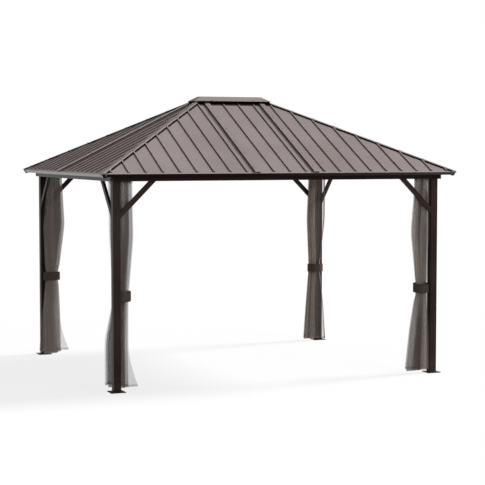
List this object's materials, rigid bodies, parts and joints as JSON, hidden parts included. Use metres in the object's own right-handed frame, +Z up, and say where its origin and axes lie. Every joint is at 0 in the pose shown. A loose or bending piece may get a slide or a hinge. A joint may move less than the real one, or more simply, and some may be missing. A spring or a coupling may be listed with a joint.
{
  "type": "hardtop garden gazebo",
  "caption": "Open garden gazebo: square posts on foot plates, braced beams, a hipped roof of ribbed steel sheet with a vented cap, and tied-back insect nets.",
  "frame": {"origin": "on the ground under the middle of the roof", "axes": "+X along the long front towards its right end, +Y from front to back, +Z up"},
  "size_m": [3.615, 3.015, 2.746],
  "materials": {
    "frame_paint": "satin dark brown powder coat",
    "roof_paint": "matte taupe powder coat on galvanised sheet",
    "cap_plastic": "matte moulded corner caps",
    "net_mesh": "fine knitted insect net, grey-brown",
    "tie_webbing": "woven tie band, dark brown"
  },
  "bodies": {
    "root": {"back_beam": "frame_paint", "back_left_braces": "frame_paint", "back_left_foot_plate": "frame_paint", "back_left_hip_rafter": "frame_paint", "back_left_net": "net_mesh", "back_left_post": "frame_paint", "back_right_braces": "frame_paint", "back_right_foot_plate": "frame_paint", "back_right_hip_rafter": "frame_paint", "back_right_net": "net_mesh", "back_right_post": "frame_paint", "back_roof_left_panel": "roof_paint", "back_roof_middle_panel": "roof_paint", "back_roof_right_panel": "roof_paint", "beam_corner_caps": "cap_plastic", "eave_corners": "roof_paint", "front_beam": "frame_paint", "front_left_braces": "frame_paint", "front_left_foot_plate": "frame_paint", "front_left_hip_rafter": "frame_paint", "front_left_net": "net_mesh", "front_left_post": "frame_paint", "front_right_braces": "frame_paint", "front_right_foot_plate": "frame_paint", "front_right_hip_rafter": "frame_paint", "front_right_net": "net_mesh", "front_right_post": "frame_paint", "front_roof_left_panel": "roof_paint", "front_roof_middle_panel": "roof_paint", "front_roof_right_panel": "roof_paint", "hip_closures": "frame_paint", "hip_covers": "roof_paint", "joint_covers": "roof_paint", "joint_rafters": "frame_paint", "left_beam": "frame_paint", "left_roof_back_panel": "roof_paint", "left_roof_front_panel": "roof_paint", "net_ties": "tie_webbing", "right_beam": "frame_paint", "right_roof_back_panel": "roof_paint", "right_roof_front_panel": "roof_paint", "top_frame": "frame_paint", "vent_cap": "roof_paint", "vent_cap_supports": "frame_paint", "vent_collar": "frame_paint"}
  },
  "joints": []
}
